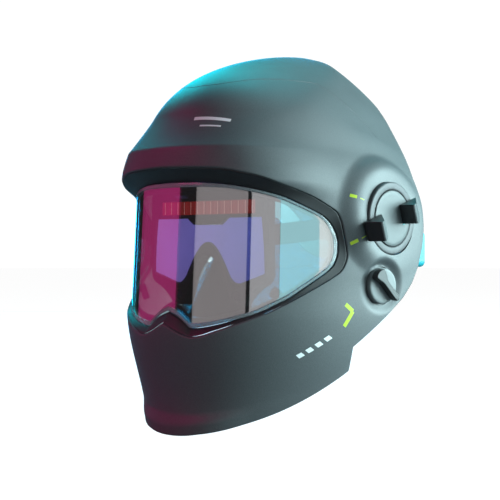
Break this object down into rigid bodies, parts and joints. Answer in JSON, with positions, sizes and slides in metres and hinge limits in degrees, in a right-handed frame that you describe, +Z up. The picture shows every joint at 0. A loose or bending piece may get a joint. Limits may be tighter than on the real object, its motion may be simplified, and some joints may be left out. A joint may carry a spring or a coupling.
{
  "type": "auto-darkening welding helmet",
  "caption": "Welding helmet: domed dark shell with a wide clear visor, a darkening filter flipped up by a side dial, a shade knob, and tilting adjustable headgear.",
  "frame": {"origin": "between the two side pivots, on the axis the helmet tilts about; a head holds the part there", "axes": "+Z up, the helmet faces -Y, +X towards the wearer's left"},
  "size_m": [0.2438, 0.2852, 0.2882],
  "materials": {
    "shell_plastic": "fine-grained matte anthracite",
    "trim_plastic": "satin black",
    "clear_lens": "clear hard-coated",
    "seal_rubber": "matte",
    "ring_metal": "satin light grey",
    "screw_steel": "zinc plated",
    "filter_glass": "purple-blue interference coating",
    "solar_cell": "dark red-brown cells with thin bright lines",
    "gear_plastic": "satin",
    "comfort_pad": "knitted foam-backed fabric",
    "accent_plastic": "satin petrol blue"
  },
  "bodies": {
    "headgear": {"front_band": "gear_plastic", "sweatband": "comfort_pad", "crown_strap_front": "gear_plastic", "crown_strap_rear": "gear_plastic", "crown_bridge": "gear_plastic", "side_plate_left": "gear_plastic", "pivot_stud_left": "screw_steel", "tilt_bush_left": "seal_rubber", "band_rivet_left": "screw_steel", "side_plate_right": "gear_plastic", "pivot_stud_right": "screw_steel", "tilt_bush_right": "seal_rubber", "band_rivet_right": "screw_steel"},
    "rear_cradle": {"rear_band_left": "accent_plastic", "band_rack_left": "gear_plastic", "rear_band_right": "accent_plastic", "band_rack_right": "gear_plastic", "ratchet_base": "gear_plastic", "ratchet_housing": "accent_plastic", "nape_pad": "comfort_pad"},
    "ratchet_wheel": {"ratchet_knob": "trim_plastic", "ratchet_pinion": "trim_plastic"},
    "helmet": {"helmet_shell": "shell_plastic", "visor_bezel": "trim_plastic", "cover_lens": "clear_lens", "lens_seal": "seal_rubber", "lens_clip_left": "trim_plastic", "lens_clip_right": "trim_plastic", "lens_clip_top": "trim_plastic", "dial_ring": "ring_metal", "pivot_ring_right": "ring_metal", "bridge_bracket_left": "trim_plastic", "bridge_bracket_right": "trim_plastic", "bracket_screw_left_1": "screw_steel", "bracket_screw_left_2": "screw_steel", "bracket_screw_left_3": "screw_steel", "bracket_screw_right_1": "screw_steel", "bracket_screw_right_2": "screw_steel", "bracket_screw_right_3": "screw_steel", "shade_potentiometer": "trim_plastic"},
    "shade_dial": {"shade_knob": "shell_plastic", "shade_grip": "trim_plastic", "shade_spindle": "screw_steel"},
    "filter": {"filter_housing": "trim_plastic", "filter_glass": "filter_glass", "solar_panel": "solar_cell", "inner_cover_plate": "clear_lens", "flip_dial": "shell_plastic", "flip_cap_right": "shell_plastic", "dial_grip_front": "trim_plastic", "dial_grip_rear": "trim_plastic", "filter_arm_left": "trim_plastic", "filter_arm_right": "trim_plastic", "light_sensor_left": "filter_glass", "light_sensor_right": "filter_glass"},
    "left_battery": {"battery_tray_left": "trim_plastic"},
    "right_battery": {"battery_tray_right": "trim_plastic"},
    "test_key": {"test_button": "accent_plastic"}
  },
  "joints": [
    {"name": "helmet_tilt", "type": "hinge", "parent": "headgear", "child": "helmet", "pos_m": [0, 0, 0], "axis": [-1, 0, 0], "range_deg": [0, 36]},
    {"name": "filter_flip", "type": "hinge", "parent": "helmet", "child": "filter", "pos_m": [0, 0, 0], "axis": [-1, 0, 0], "range_deg": [0, 44]},
    {"name": "shade_turn", "type": "hinge", "parent": "helmet", "child": "shade_dial", "pos_m": [0.1113, -0.009, -0.049], "axis": [0.9882, -0.153, 0], "range_deg": [-130, 130]},
    {"name": "ratchet_turn", "type": "hinge", "parent": "rear_cradle", "child": "ratchet_wheel", "pos_m": [0, 0.136, -0.022], "axis": [0, 1, 0], "range_deg": [-230, 344]},
    {"name": "rear_slide", "type": "slide", "parent": "headgear", "child": "rear_cradle", "axis": [0, -1, 0], "range_m": [-0.008, 0.012]},
    {"name": "left_tray_slide", "type": "slide", "parent": "filter", "child": "left_battery", "axis": [1, 0, 0], "range_m": [0, 0.008]},
    {"name": "right_tray_slide", "type": "slide", "parent": "filter", "child": "right_battery", "axis": [-1, 0, 0], "range_m": [0, 0.008]},
    {"name": "test_press", "type": "slide", "parent": "filter", "child": "test_key", "axis": [0, -1, 0], "range_m": [0, 0.0012], "stiffness_N_per_m": 200}
  ],
  "couplings": [
    {"joint": "ratchet_turn", "follows": "rear_slide", "rad_per_m": 500}
  ]
}
